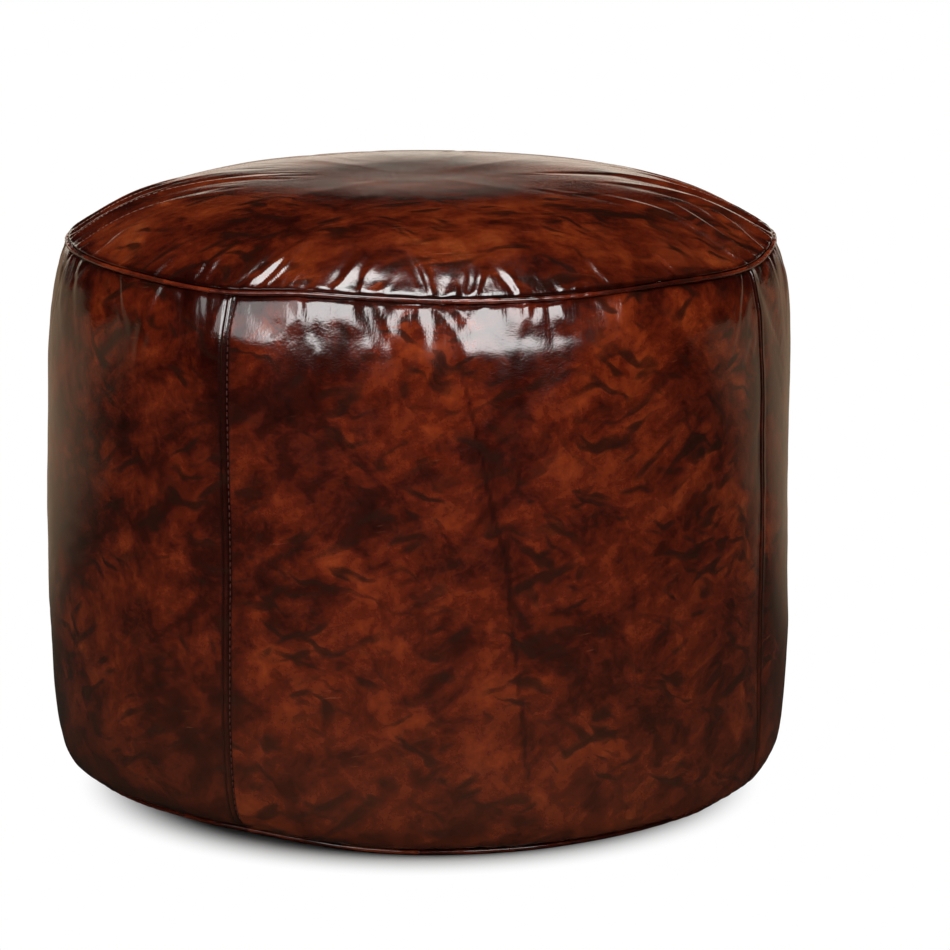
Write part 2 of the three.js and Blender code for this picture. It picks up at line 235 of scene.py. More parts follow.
# Where the crown turns over into the top seam: (radius, height).
TOP_RIM = [(260.4, 416.5), (264.6, 414), (266.2, 412.7), (265.2, 411.6), (260, 411)]
TOP = Profile(
    [(r * MM, crown_height(r * MM)) for r in (0, 40, 80, 120, 160, 190, 214, 232, 245, 254)]
    + [(r * MM, z * MM) for r, z in TOP_RIM]
)


def puckers(azimuth, from_edge, radius, seed, count, height, reach, width=3.6 * MM):
    """Short folds that a gathered seam leaves, square to it."""
    chance = np.random.RandomState(seed)
    relief = np.zeros(np.broadcast(azimuth, from_edge).shape)
    where = np.cumsum(chance.uniform(0.4, 1.6, count))
    for place in where / where[-1] * 360:
        wide = chance.uniform(0.6, 1.5) * width
        long = reach * chance.uniform(0.5, 1.7)
        slant = chance.normal() * 0.35
        tall = height * chance.uniform(-1, 1)
        off = np.radians(away(azimuth, place)) * radius - slant * from_edge
        near = np.abs(off) < 4 * wide
        fold = (hump(off, wide) - 0.6 * hump(off - 1.7 * wide, wide)) * tall
        relief += np.where(near, fold, 0) * np.exp(-np.clip(from_edge, 0, None) / long)
    return relief


# How far the second row of stitches lies to the left of a side seam.
TOPSTITCH = 4.9 * MM


def side_seams(azimuth, radius):
    """The vertical seams: a groove with a pulled-in hollow, a ridge over the seam allowances, and the line
    where they are stitched down."""
    relief = 0
    for seam in SEAMS:
        off = np.radians(away(azimuth, seam)) * radius
        groove = -2.4 * MM * hump(off, 1.3 * MM) - 0.28 * MM * hump(off, 13 * MM)
        ridge = 0.4 * MM * hump(off + 2.6 * MM, 1.2 * MM)
        stitched = -0.9 * MM * hump(off + TOPSTITCH, 0.8 * MM)
        relief = relief + groove + ridge + stitched
    return relief


def from_seams(s):
    """How far a place on the side is from the top seam and from the base seam."""
    return SIDE.length - SIDE_TUCK - s, s - SIDE_TUCK


# The fold of the hide down the front panel: (height, azimuth).
HIDE_FOLD = [(0.03, 16.2), (0.06, 16), (0.118, 15), (0.17, 13.6), (0.22, 12.7), (0.26, 10.6)]
HIDE_FOLD += [(0.3, 9), (0.34, 7.2), (0.37, 5.8), (0.4, 5)]


def from_hide_fold(azimuth, radius, z):
    """How far a place on the side is to the right of the fold, and how strong the fold is there."""
    off = np.radians(away(azimuth, curve_through(HIDE_FOLD, z))) * radius
    return off, smooth(z, 0.045, 0.075) * (1 - smooth(z, 0.35, 0.385))


def hide_fold(azimuth, radius, z):
    off, fade = from_hide_fold(azimuth, radius, z)
    return fade * (-0.5 * MM * hump(off, 1.2 * MM) + 0.5 * MM * hump(off - 4 * MM, 4 * MM))


def side_surface(azimuth, s, creases=0):
    """Points of the side's outer face, at a length up its profile."""
    r, z = SIDE.at(s)
    out_r, out_z = SIDE.facing(s)
    plain = turned(azimuth, r, z)
    to_top, to_base = from_seams(s)
    wall = smooth(to_top, 0, 30 * MM) * smooth(to_base, 0, 40 * MM)
    relief = wall * 1.8 * MM * ripples(plain, 0.24, 11)
    relief += (0.5 + 0.5 * wall) * 0.4 * MM * ripples(plain, 0.085, 12)
    relief += 0.07 * MM * ripples(plain, 0.022, 13)
    relief += 0.8 * MM * ripples(plain, 0.052, 14) * hump(to_top - 16 * MM, 30 * MM)
    tucked = smooth(to_top, -4 * MM, 3 * MM) * smooth(to_base, -4 * MM, 3 * MM)
    relief += tucked * side_seams(azimuth, r)
    relief += hide_fold(azimuth, r, z)
    relief += tucked * puckers(azimuth, to_top, r, 21, 84, 1.1 * MM, 16 * MM)
    relief += tucked * puckers(azimuth, to_top, r, 23, 44, 1.4 * MM, 34 * MM, 5 * MM)
    relief += tucked * puckers(azimuth, to_base, r, 22, 60, 1.1 * MM, 14 * MM)
    rise = top_edge_rise(azimuth) * smooth(z, 0.3, HEIGHT - 0.05)
    rise = rise + base_edge_rise(azimuth) * (1 - smooth(z, 0.004, 0.11))
    pull = base_edge_pull(azimuth) * (1 - smooth(z, 0, 0.12))
    pull = pull + top_edge_pull(azimuth) * smooth(z, HEIGHT - 0.14, HEIGHT - 0.05)
    relief += tucked * creases
    return turned(azimuth, r + out_r * relief - pull, z + out_z * relief + rise)


# Folds of the top panel's leather, from its rim inwards: (azimuth, radius) of both ends, bow, width, height.
TOP_FOLDS = [
    ((-63.5, 262), (-66, 226), 0, 5.0, 0.9),
    ((-57.5, 262), (-59.5, 228), 0, 4.6, 1.1),
    ((-52.4, 262), (-54, 230), 0, 4.6, 1.1),
    ((-47.6, 263), (-48.8, 232), 1, 4.6, 0.9),
    ((-42.8, 263), (-44.6, 238), 1, 4.0, 0.6),
    ((-37.8, 262), (-39.6, 236), 1, 2.4, 0.8),
    ((-35.4, 262), (-37.4, 220), -2, 2.8, 1.0),
    ((-27.6, 264), (-19.6, 190), 3, 4.2, 1.7),
    ((-24.4, 264), (-22.2, 224), 2, 2.4, 1.3),
    ((-20.4, 264), (-19.6, 246), 0, 2.0, 1.0),
    ((-12.6, 264), (-9.4, 212), 2, 3.2, 1.0),
    ((-8.8, 264), (-6.4, 222), -2, 2.6, 0.8),
    ((1.9, 264), (-4, 200), 3, 3.4, 0.9),
    ((8.5, 264), (11, 226), 2, 3.2, 1.0),
    ((15.5, 264), (14, 236), 1, 2.6, 0.9),
    ((30.9, 262), (31.8, 226), -2, 3.0, 0.7),
    ((44.4, 264), (42, 216), 3, 2.8, -1.6),
    ((56, 264), (61, 214), 3, 6.0, 1.3),
    ((63, 265), (61.5, 150), 9, 4.4, 1.7),
    ((68, 265), (76, 186), -8, 4.0, 1.5),
    ((74, 265), (89, 202), -6, 4.0, 1.3),
]
# The long folds at the sides, which run nearly straight across: azimuths of both ends, and the inner radius.
SIDEWAYS_FOLDS = [
    (-73, -70, 158, 1.1), (-80, -94, 110, 1.6), (-86, -108, 142, 1.3), (-92, -116, 168, 1.6),
    (-98, -126, 190, 1.4), (-105, -137, 204, 1.6), (-113, -146, 214, 1.2), (-123, -158, 222, 1.4),
    (82, 86, 150, 1.4), (89, 104, 150, 1.6), (96, 116, 172, 1.3), (103, 128, 190, 1.6),
    (111, 140, 206, 1.3), (121, 153, 218, 1.5),
]
for rim_azimuth, inner_azimuth, inner_radius, height in SIDEWAYS_FOLDS:
    bow = -7 if rim_azimuth < 0 else 7
    TOP_FOLDS.append(((rim_azimuth, 264), (inner_azimuth, inner_radius), bow, 5.6, 1.25 * height))


def long_folds(places):
    relief = np.zeros(places.shape[:-1])
    flat = places[..., :2]
    for (rim_turn, rim_r), (end_turn, end_r), bow, width, height in TOP_FOLDS:
        rim = turned(rim_turn, rim_r * MM, 0)[:2]
        end = turned(end_turn, end_r * MM, 0)[:2]
        along = end - rim
        length = np.linalg.norm(along)
        along = along / length
        across = np.array([-along[1], along[0]])
        share = (flat - rim) @ along / length
        inside = np.clip(share, 0, 1)
        off = (flat - rim) @ across + bow * MM * 4 * inside * (1 - inside)
        fade = smooth(share, -0.12, 0.1) * (1 - smooth(share, 0.4, 1.1))
        wide = width * MM * (0.7 + 0.5 * inside)
        relief += fade * height * MM * (hump(off, wide) - 0.7 * hump(off - 2 * wide, 1.3 * wide))
    return relief


def top_surface(azimuth, s, creases=0):
    """Points of the top's outer face, at a length from its middle."""
    r, z = TOP.at(s)
    out_r, out_z = TOP.facing(s)
    plain = turned(azimuth, r, z)
    to_edge = TOP.length - TOP_TUCK - s
    crown = smooth(to_edge, 0, 45 * MM)
    relief = crown * 0.5 * MM * ripples(plain, 0.34, 31)
    relief += (1.1 - 0.8 * crown) * 0.35 * MM * ripples(plain, 0.075, 32)
    relief += (1.1 - crown) * 0.1 * MM * ripples(plain, 0.022, 33)
    tucked = smooth(to_edge, -4 * MM, 3 * MM)
    relief += tucked * puckers(azimuth, to_edge, CROWN_RADIUS, 41, 78, 0.9 * MM, 15 * MM)
    relief += tucked * long_folds(plain)
    rise = top_edge_rise(azimuth) * smooth(r, 0.16, CROWN_RADIUS)
    pull = top_edge_pull(azimuth) * smooth(r, 0.16, CROWN_RADIUS)
    relief += tucked * creases
    return turned(azimuth, r - out_r * relief - pull, z - out_z * relief + rise)


# ---------------------------------------------------------------- making pieces

def piece(name, places, faces, finish, layers=None):
    mesh = bpy.data.meshes.new(name)
    mesh.from_pydata(places.reshape(-1, 3).tolist(), [], faces.tolist())
    mesh.shade_smooth()
    for layer, values in (layers or {}).items():
        kind = "FLOAT_VECTOR" if values.shape == places.shape else "FLOAT"
        attribute = mesh.attributes.new(layer, kind, "POINT")
        key = "vector" if kind == "FLOAT_VECTOR" else "value"
        attribute.data.foreach_set(key, values.astype(np.float32).ravel())
    mesh.materials.append(finish)
    made = bpy.data.objects.new(name, mesh)
    bpy.context.collection.objects.link(made)
    return made


def net(rows, columns, closed=False):
    """The quads of a grid of points. A closed one joins its last column to its first."""
    left = np.arange(columns if closed else columns - 1)
    right = (left + 1) % columns
    start = np.arange(rows - 1)[:, None] * columns
    quads = [start + left, start + right, start + columns + right, start + columns + left]
    return np.stack(quads, -1).reshape(-1, 4)


# ---------------------------------------------------------------- filling the cover

# How many steps the filling takes, and the nets of points it moves. What is finer than CREASE_CELLS cells of
# a net, and not taller than CREASE_LIMIT, is kept as creases.
SWELLING = 20
SIDE_ROWS, SIDE_COLUMNS = 88, 360
TOP_RINGS = 56
CREASE_CELLS = 9
CREASE_LIMIT = 3.5 * MM


def swollen(name, places, quads, held, slack):
    """How far each point moves when pressure fills a leather skin that is sewn down where it is held.
    Where slack is 1 the skin is cut largest, so it lies in folds there."""
    scene = bpy.context.scene
    skin = piece(name, places, quads, bpy.data.materials.new(name))
    grades = 20
    for label, weights in (("held", held), ("slack", slack)):
        group = skin.vertex_groups.new(name=label)
        levels = np.round(weights.ravel() * grades).astype(int)
        for level in range(1, grades + 1):
            points = np.flatnonzero(levels == level).tolist()
            group.add(points, level / grades, "REPLACE")
    cloth = skin.modifiers.new("cloth", "CLOTH")
    cloth.point_cache.frame_start = 1
    cloth.point_cache.frame_end = SWELLING
    settings = cloth.settings
    settings.quality = 5
    settings.mass = 0.3
    settings.tension_stiffness = settings.compression_stiffness = 60
    settings.shear_stiffness = 30
    settings.bending_stiffness = 0.6
    settings.air_damping = 4
    settings.vertex_group_mass = "held"
    settings.vertex_group_shrink = "slack"
    settings.shrink_min = 0
    settings.shrink_max = -0.045
    settings.use_pressure = True
    settings.uniform_pressure_force = 4
    settings.effector_weights.gravity = 0
    for step in range(1, SWELLING + 1):
        scene.frame_set(step)
    filled = skin.evaluated_get(bpy.context.evaluated_depsgraph_get()).to_mesh()
    moved = np.empty(len(filled.vertices) * 3, np.float32)
    filled.vertices.foreach_get("co", moved)
    bpy.data.objects.remove(skin)
    scene.frame_set(1)
    return moved.reshape(places.shape) - places


def blurred(field, cells, wrap):
    """The field without what is finer than that many cells. It mirrors at its edges, or wraps round."""
    for axis in (0, 1):
        goes_round = wrap and axis == 1
        whole = field if goes_round else np.concatenate([field, np.flip(field, axis)], axis)
        waves = np.fft.fftfreq(whole.shape[axis])
        keep = np.exp(-2 * (math.pi * waves * cells) ** 2)
        keep = keep[:, None] if axis == 0 else keep[None, :]
        whole = np.fft.ifft(np.fft.fft(whole, axis=axis) * keep, axis=axis).real
        field = np.take(whole, np.arange(field.shape[axis]), axis)
    return field


def creases_of(moved, outward, wrap):
    """The fine part of a filled skin's relief, with its broad swelling left out."""
    swelling = np.sum(moved * outward, -1)
    return np.clip(swelling - blurred(swelling, CREASE_CELLS, wrap), -CREASE_LIMIT, CREASE_LIMIT)


def sampled(field, row, column, wrap):
    """The field between its points, on cubic curves."""
    row, column = np.broadcast_arrays(row, column)
    total = 0
    start_row, start_column = np.floor(row).astype(int), np.floor(column).astype(int)
    for i, row_weight in enumerate(cubic_weights(row - start_row)):
        for j, column_weight in enumerate(cubic_weights(column - start_column)):
            y = np.clip(start_row + i - 1, 0, field.shape[0] - 1)
            x = start_column + j - 1
            x = x % field.shape[1] if wrap else np.clip(x, 0, field.shape[1] - 1)
            total = total + field[y, x] * row_weight * column_weight
    return total


def cubic_weights(t):
    return (
        (-t + 2 * t**2 - t**3) / 2,
        (2 - 5 * t**2 + 3 * t**3) / 2,
        (t + 4 * t**2 - 3 * t**3) / 2,
        (t**3 - t**2) / 2,
    )


def side_creases():
    azimuth = np.linspace(0, 360, SIDE_COLUMNS, endpoint=False)[None, :]
    s = np.linspace(0, SIDE.length, SIDE_ROWS)[:, None]
    places = side_surface(azimuth, s)
    r, _ = SIDE.at(s)
    out_r, out_z = SIDE.facing(s)
    outward = turned(azimuth, out_r, out_z)
    to_edge = np.minimum(*from_seams(s))
    held = np.clip(1 - to_edge / (4 * MM), 0, 1) + 0 * azimuth
    slack = 0.25 + 0.75 * hump(to_edge, 45 * MM) + 0 * azimuth
    for seam in SEAMS:
        off = np.radians(away(azimuth, seam)) * r
        held = np.maximum(held, hump(off, 4 * MM) * (np.abs(off) < 4 * MM))
        slack = np.maximum(slack, hump(off, 35 * MM))
    quads = net(SIDE_ROWS, SIDE_COLUMNS, closed=True)
    moved = swollen("side_skin", places, quads, np.clip(held, 0, 1), np.clip(slack, 0, 1))
    return 0.8 * creases_of(moved, outward, True)


def top_creases():
    share, azimuth, quads = disc_grid(TOP_RINGS)
    s = TOP.length * share
    places = top_surface(azimuth, s)
    out_r, out_z = TOP.facing(s)
    outward = -turned(azimuth, out_r, out_z)
    to_edge = TOP.length - TOP_TUCK - s
    held = np.clip(1 - to_edge / (4 * MM), 0, 1)
    slack = np.clip(0.3 + 0.7 * hump(to_edge, 50 * MM), 0, 1)
    moved = swollen("top_skin", places, quads, held, slack)
    return 0.4 * creases_of(moved, outward, False)


def thicken(made, thickness, offset=-1):
    shell = made.modifiers.new("thickness", "SOLIDIFY")
    shell.thickness = thickness
    shell.offset = offset
    return made


def belongs(made, node):
    """A piece of the cover or its filling, which stands for a plain node of the frame."""
    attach(made, "pouf")
    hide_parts(node)
    return made


def base_lift(x, y):
    """1 over the zip, falling to 0 towards the rim of the base."""
    along = 1 - smooth(np.abs(x), 209 * MM, 233 * MM)
    return along * (1 - smooth(np.abs(y), 17 * MM, 60 * MM))


def rim_rise(azimuth, r):
    """How far the base hangs clear of the floor near its rim."""
    return base_edge_rise(azimuth) * smooth(r, BASE_RADIUS - 40 * MM, BASE_RADIUS)


def base_panel(name, side, finish):
    """Half of the base, from the zip's slot to the rim, where it turns up into the seam."""
    rows, columns = 90, 260
    share = np.linspace(0, 1, rows)[:, None] ** 0.8
    x = BASE_RADIUS * np.sin(np.radians(np.linspace(-89.6, 89.6, columns)))[None, :]
    far = np.sqrt(BASE_RADIUS**2 - x**2)
    middle = 0.4 * MM + (SLOT[1] - 0.4 * MM) * (1 - smooth(np.abs(x), SLOT[0] - MM, SLOT[0] + MM))
    y = middle + np.maximum(far - middle, 0.2 * MM) * share
    r = np.hypot(x, y)
    plain = np.stack([x + 0 * y, side * y, 0 * r], -1)
    z = base_lift(x, y) * BASE_RAISED + 4 * MM * smooth(r, BASE_RADIUS - 6 * MM, BASE_RADIUS) ** 2
    z = z + 0.3 * MM * (1 + ripples(plain, 0.05, 71)) * smooth(BASE_RADIUS - r, 3 * MM, 30 * MM)
    azimuth = np.degrees(np.arctan2(x, -side * y))
    pull = base_edge_pull(azimuth) * smooth(r, 0.15, BASE_RADIUS)
    z = z + rim_rise(azimuth, r)
    places = np.stack([x * (1 - pull / r), side * y * (1 - pull / r), np.maximum(z, 0)], -1)
    quads = net(rows, columns)
    if side > 0:
        quads = quads[:, ::-1]
    level = 0 * r
    edge = np.stack([x + level, r, level + side], -1)
    layers = {"hide": plain + [0, 0, 5.3 + side], "edge": edge, "gathered": hump(BASE_RADIUS - r, 12 * MM)}
    layers["dye"] = level - 0.03
    return thicken(piece(name, places, quads, finish, layers), BASE_LEATHER)


def liner_top(finish, creases):
    rings = 50
    length = TOP.length - 15 * MM
    share, azimuth, quads = disc_grid(rings)
    s = length * share
    line = np.linspace(-1, 1, 2 * rings + 1)
    spread = TOP_RINGS * length / TOP.length
    row, column = TOP_RINGS + spread * line[:, None], TOP_RINGS + spread * line[None, :]
    places = top_surface(azimuth, s, sampled(creases, row, column, False) - UNDER_LEATHER)
    return thicken(piece("liner_top_calico", places, quads, finish), CALICO)


def liner_side(finish, creases):
    rows, columns = 90, 360
    azimuth = np.linspace(0, 360, columns, endpoint=False)[None, :]
    s = np.linspace(17 * MM, SIDE.length - 16 * MM, rows)[:, None]
    row = s / SIDE.length * (SIDE_ROWS - 1)
    inside = sampled(creases, row, azimuth / 360 * SIDE_COLUMNS, True) - UNDER_LEATHER
    places = side_surface(azimuth, s, inside)
    return thicken(piece("liner_side_calico", places, net(rows, columns, closed=True), finish), CALICO)


def liner_bottom(finish):
    share, azimuth, quads = disc_grid(60)
    r = share * 0.234
    places = turned(azimuth, r, 2.6 * MM + rim_rise(azimuth, r))
    places[..., 2] += base_lift(places[..., 0], places[..., 1]) * LINER_RAISED
    return thicken(piece("liner_bottom_calico", places, quads, finish), CALICO, 1)


def stuffing(finish, folds):
    """The wadding inside the liner, in one lump: its base, its side and its crown."""
    columns = 240
    azimuth = np.linspace(0, 360, columns, endpoint=False)[None, :]
    rows = []
    for r in np.linspace(0.002, 0.23, 24):
        base = turned(azimuth, r, 4.6 * MM + rim_rise(azimuth, r))
        base[..., 2] += base_lift(base[..., 0], base[..., 1]) * LINER_RAISED
        rows.append(base)
    for s in np.linspace(22 * MM, SIDE.length - 24 * MM, 60):
        row = s / SIDE.length * (SIDE_ROWS - 1)
        creases = sampled(folds, np.full(azimuth.shape, row), azimuth / 360 * SIDE_COLUMNS, True)
        rows.append(side_surface(azimuth, s, creases - UNDER_LINER))
    for s in np.linspace(TOP.length - 26 * MM, 2 * MM, 30):
        rows.append(top_surface(azimuth, s, -UNDER_LINER - MM))
    places = np.concatenate(rows)
    quads = net(len(rows), columns, closed=True)
    return piece("stuffing_wadding", places, quads, finish)


def stitches(name, seam, finish, creases):
    """The stitches of a side seam, lying end to end down in its groove."""
    pitch, half, thick = 5.2 * MM, 2 * MM, 0.45 * MM
    rounds, corners = 7, 8
    starts = np.arange(20 * MM, SIDE.length - 17 * MM, pitch)
    along = np.linspace(-1, 1, rounds)
    turn = np.radians(np.arange(0, 360, 360 / corners))
    s = (starts[:, None] + along * half)[..., None]
    azimuth = seam + 0 * s
    inside = sampled(creases, s / SIDE.length * (SIDE_ROWS - 1), azimuth % 360 / 360 * SIDE_COLUMNS, True)
    middle = side_surface(azimuth, s, inside)
    out_r, out_z = SIDE.facing(s)
    outward = turned(azimuth, out_r, out_z)
    aside = turned(azimuth + 90, 1 + 0 * s, 0 * s)
    radius = thick * np.sqrt(1.04 - along**2)[None, :, None, None]
    ring = np.cos(turn)[:, None] * outward + np.sin(turn)[:, None] * aside
    places = middle + outward * 0.35 * MM + ring * radius
    one = net(rounds, corners, closed=True)
    quads = np.concatenate([one + rounds * corners * i for i in range(len(starts))])
    return piece(name, places, quads, finish)


def teeth(name, node, side, finish):
    """One row of the zip's teeth: each is a block with a nose that hooks between two of the other row's."""
    low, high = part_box(node)
    pitch, half = 2 * MM, 0.62 * MM
    root, tip = (low.y, high.y) if side < 0 else (high.y, low.y)
    depth = tip - root
    outline = [(root, 0.8), (root + 0.55 * depth, 0.8), (root + 0.7 * depth, 0.5), (root + 0.85 * depth, 1),
               (root + 0.97 * depth, 0.7), (root + depth, 0.2)]
    section = outline + [(y, -w) for y, w in reversed(outline)]
    starts = np.arange(low.x + MM, high.x - MM, pitch) + (0 if side < 0 else pitch / 2)
    flat = np.array(section) * [1, half]
    height = high.z - low.z
    levels = [(low.z + 0.25 * height, 0.8), (low.z + 0.32 * height, 1), (low.z + 0.68 * height, 1),
              (low.z + 0.75 * height, 0.8)]
    places = np.zeros((len(starts), len(levels), len(flat), 3))
    for i, (z, share) in enumerate(levels):
        places[:, i, :, 0] = starts[:, None] + flat[:, 1] * share
        places[:, i, :, 1] = flat[:, 0]
        places[:, i, :, 2] = z
    count = len(flat)
    wall = net(len(levels), count, closed=True)
    half_way = count // 2
    caps = []
    for start in (0, (len(levels) - 1) * count):
        for i in range(half_way - 1):
            cap = [start + i, start + i + 1, start + count - 2 - i, start + count - 1 - i]
            caps.append(cap if start == 0 else cap[::-1])
    one = np.vstack([wall, caps])
    quads = np.concatenate([one + len(levels) * count * i for i in range(len(starts))])
    return piece(name, places, quads, finish)


# How much lighter or darker each side panel's hide was dyed.
PANEL_DYE = [0.0, -0.02, -0.01, -0.075]


def side_dye_and_shade(azimuth, s):
    """Painted shade in the seams' grooves and hollows, along their stitched lines, in the hide's fold and
    beside the welts; lighter just above the base seam; and a darker patch high on the front panel.
    """
    r, z = SIDE.at(s)
    to_top, to_base = from_seams(s)
    # Painted shade under the top welt and above the bottom welt.
    dye = -0.05 * hump(to_top, 12 * MM) - 0.2 * hump(to_top, 1.4 * MM) - 0.15 * hump(to_base, 2.4 * MM)
    # Lighter just above the base seam.
    dye = dye + 0.06 * hump(to_base - 12 * MM, 8 * MM) + 0.03 * hump(to_base, 60 * MM)
    # Painted shade in each seam's groove and hollow, and along its stitched line.
    for seam in SEAMS:
        off = np.radians(away(azimuth, seam)) * r
        dye = dye - 0.3 * hump(off, 1.7 * MM) - 0.05 * hump(off, 14 * MM)
        dye = dye - 0.24 * hump(off + TOPSTITCH, 1.0 * MM)
    dye = dye - 0.09 * hump(np.radians(azimuth + 19) * r, 50 * MM) * hump(z - 0.335, 55 * MM)
    # Painted shade in the hide's fold.
    off, fade = from_hide_fold(azimuth, r, z)
    return dye - fade * (0.13 * hump(off, 1.2 * MM) + 0.03 * hump(off - 3 * MM, 7 * MM))


def columns_between(start, end, columns):
    """Azimuths from one seam to the next, closer together beside the seams."""
    share = np.linspace(-1, 1, columns)
    share = np.sign(share) * (1 - (1 - np.abs(share)) ** 1.35)
    crowded = 0.5 + 0.5 * share
    return start + (end - start) * crowded


def side_panel(name, start, end, finish, number, creases):
    rows, columns = 200, 250
    azimuth = columns_between(start, end, columns)[None, :]
    s = np.linspace(0, SIDE.length, rows)[:, None]
    row = s / SIDE.length * (SIDE_ROWS - 1)
    places = side_surface(azimuth, s, sampled(creases, row, azimuth % 360 / 360 * SIDE_COLUMNS, True))
    level = 0 * (azimuth + s)
    hide = np.stack([np.radians(azimuth) * SIDE_RADIUS + level, s + level, 1.7 * number + level], -1)
    to_top, to_base = from_seams(s)
    gathered = hump(to_top, 30 * MM) + 0.7 * hump(to_base, 20 * MM) + level
    layers = {"hide": hide, "edge": hide, "gathered": gathered}
    layers["dye"] = side_dye_and_shade(azimuth, s) + PANEL_DYE[number]
    # Paler and browner towards the base seam.
    layers["faded"] = hump(to_base, 130 * MM) + level
    made = piece(name, places, net(rows, columns), finish, layers)
    return thicken(made, LEATHER)


def disc_grid(rings):
    """Square rings mapped to round ones: the share of the radius, the azimuth, and the quads."""
    line = np.arange(-rings, rings + 1) / rings
    a, b = np.meshgrid(line, line)
    reach = np.maximum(np.abs(a), np.abs(b))
    along = np.abs(a) >= np.abs(b)
    safe = np.where(reach == 0, 1, np.where(along, a, b))
    ratio = np.where(along, b, a) / safe
    angle = np.where(along, 45 * ratio, 90 - 45 * ratio)
    angle = angle + np.where(safe < 0, 180, 0)
    return reach, angle, net(2 * rings + 1, 2 * rings + 1)


def top_panel(finish, creases):
    rings = 128
    share, azimuth, quads = disc_grid(rings)
    s = TOP.length * (1 - (1 - share) ** 1.25)
    line = np.linspace(-1, 1, 2 * rings + 1)
    spread = s / TOP.length / np.where(share == 0, 1, share)
    column = TOP_RINGS * (1 + line[None, :] * spread)
    row = TOP_RINGS * (1 + line[:, None] * spread)
    places = top_surface(azimuth, s, sampled(creases, row, column, False))
    to_edge = TOP.length - TOP_TUCK - s
    edge = np.stack([np.radians(azimuth) * CROWN_RADIUS, s, 3.3 + 0 * s], -1)
    layers = {"hide": places * [1, 1, 0] + [0, 0, 9.1], "edge": edge, "gathered": hump(to_edge, 26 * MM)}
    # Painted shade: the crown darkens towards its edge at the top seam, most in the gap beside the welt.
    layers["dye"] = 0.03 - 0.05 * hump(to_edge, 9 * MM) - 0.15 * hump(to_edge, 1.2 * MM)
    made = piece("top_panel_leather", places, quads, finish, layers)
    return thicken(made, LEATHER)


def welt(name, ring, thickness, finish, rise, pull, seed, dye=0.0):
    """A leather strip sewn round a cord, with small dents where the stitches draw it in."""
    rows, columns = 16, 1080
    azimuth = np.linspace(0, 360, columns, endpoint=False)[None, :]
    turn = np.linspace(0, 360, rows, endpoint=False)[:, None]
    plain = turned(azimuth, ring[0], ring[1])
    uneven = ripples(plain, 0.011, seed) * 0.2 + ripples(plain, 0.045, seed + 1) * 0.12
    radius = thickness / 2 * (1 + 0.35 * uneven)
    sway = ripples(plain, 0.06, seed + 2) * 0.3 * MM
    r = ring[0] + radius * np.cos(np.radians(turn)) - pull(azimuth) + sway
    z = ring[1] + radius * np.sin(np.radians(turn)) + rise(azimuth)
    places = turned(azimuth + 0 * turn, r, z)
    first = np.arange(columns)
    onward = (first + 1) % columns
    final = (rows - 1) * columns
    close = np.stack([first + final, onward + final, onward, first], -1)
    quads = np.vstack([net(rows, columns, closed=True), close])
    level = 0 * (azimuth + turn)
    hide = np.stack([np.radians(azimuth) * ring[0] + level, turn * 2e-5 + level, seed + level], -1)
    layers = {"hide": hide, "edge": hide, "gathered": level + 0.5, "dye": level + dye}
    return piece(name, places, quads, finish, layers)


# ---------------------------------------------------------------- finishes

class Value:
    """A socket of a node that takes part in sums as a number would."""

    def __init__(self, finish, socket):
        self.finish = finish
        self.socket = socket

    def maths(self, operation, *values):
        return self.finish.add("ShaderNodeMath", {"operation": operation}, dict(enumerate(values)))

    def __add__(self, other):
        return self.maths("ADD", self, other)

    def __sub__(self, other):
        return self.maths("SUBTRACT", self, other)

    def __rsub__(self, other):
        return self.maths("SUBTRACT", other, self)

    def __mul__(self, other):
        return self.maths("MULTIPLY", self, other)

    __radd__ = __add__
    __rmul__ = __mul__

    def between(self, start, end, low=0.0, high=1.0):
        """Rises softly from low to high as the value goes from start to end."""
        settings = {"interpolation_type": "SMOOTHSTEP"}
        sockets = {"Value": self, "From Min": start, "From Max": end, "To Min": low, "To Max": high}
        return self.finish.add("ShaderNodeMapRange", settings, sockets)


